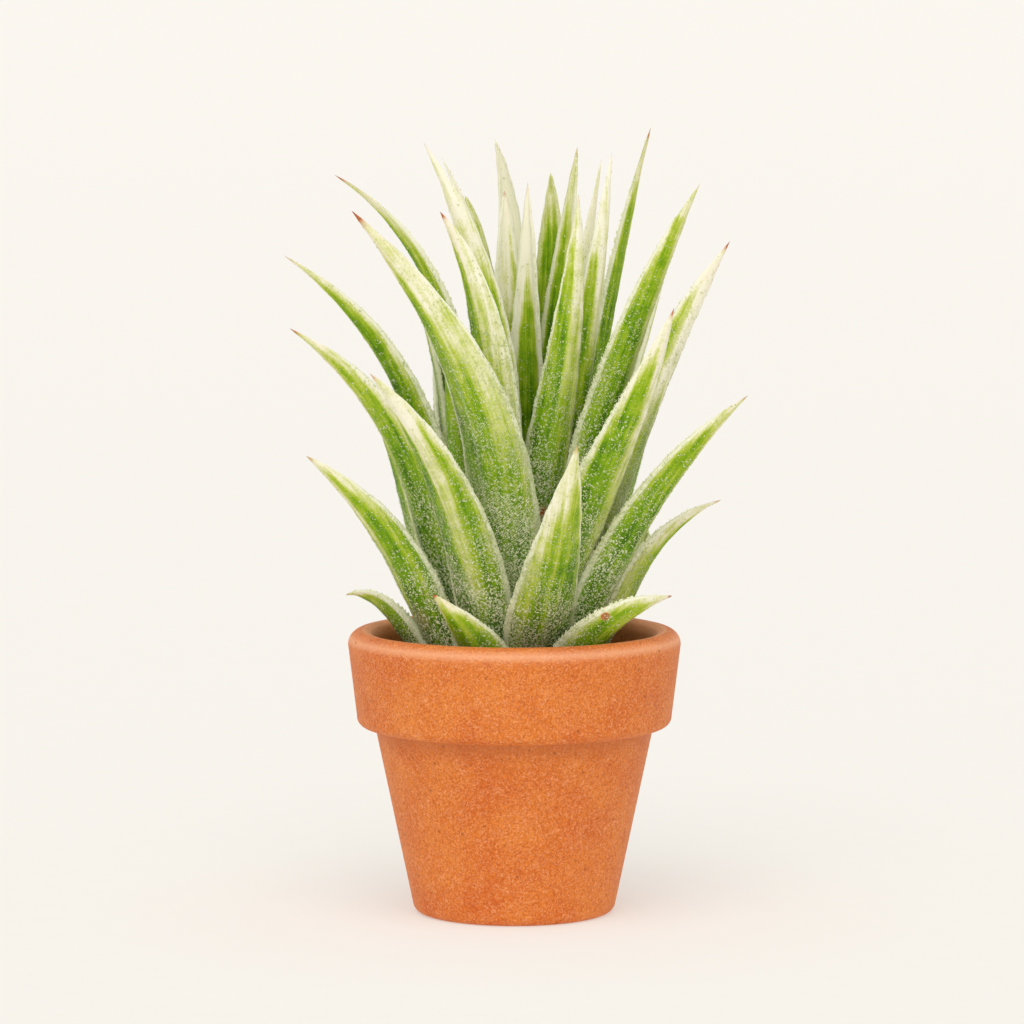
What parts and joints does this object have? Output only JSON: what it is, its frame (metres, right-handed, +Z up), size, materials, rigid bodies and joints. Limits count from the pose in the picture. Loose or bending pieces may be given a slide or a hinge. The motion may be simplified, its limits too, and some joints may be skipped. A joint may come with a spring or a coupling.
{
  "type": "air plant in a clay pot",
  "caption": "Spiky rosette of stiff, channelled silvery green leaves on a short stem, standing in grit in a small flared clay pot with a rolled collar.",
  "frame": {"origin": "centre of the pot's foot, on the surface that the pot stands on", "axes": "+Z up along the pot's axis; -Y towards the viewer in front of the plant, +X to that viewer's right"},
  "size_m": [0.069, 0.058, 0.118],
  "materials": {
    "terracotta": "matte",
    "grit": "matte",
    "stem": "matte",
    "leaf": "matte"
  },
  "bodies": {
    "root": {"pot": "terracotta", "grit": "grit", "stem": "stem", "leaf_01": "leaf", "leaf_02": "leaf", "leaf_03": "leaf", "leaf_04": "leaf", "leaf_05": "leaf", "leaf_06": "leaf", "leaf_07": "leaf", "leaf_08": "leaf", "leaf_09": "leaf", "leaf_10": "leaf", "leaf_11": "leaf", "leaf_12": "leaf", "leaf_13": "leaf", "leaf_14": "leaf", "leaf_15": "leaf", "leaf_16": "leaf", "leaf_17": "leaf", "leaf_18": "leaf", "leaf_19": "leaf", "leaf_20": "leaf", "leaf_21": "leaf", "leaf_22": "leaf", "leaf_23": "leaf", "leaf_24": "leaf", "leaf_25": "leaf", "leaf_26": "leaf", "leaf_27": "leaf", "leaf_28": "leaf", "leaf_29": "leaf", "leaf_30": "leaf", "leaf_31": "leaf", "leaf_32": "leaf", "leaf_33": "leaf", "leaf_34": "leaf", "leaf_35": "leaf", "leaf_36": "leaf", "leaf_37": "leaf", "leaf_38": "leaf", "leaf_39": "leaf", "leaf_40": "leaf", "leaf_41": "leaf", "leaf_42": "leaf", "leaf_43": "leaf", "leaf_44": "leaf", "leaf_45": "leaf", "leaf_46": "leaf"}
  },
  "joints": []
}
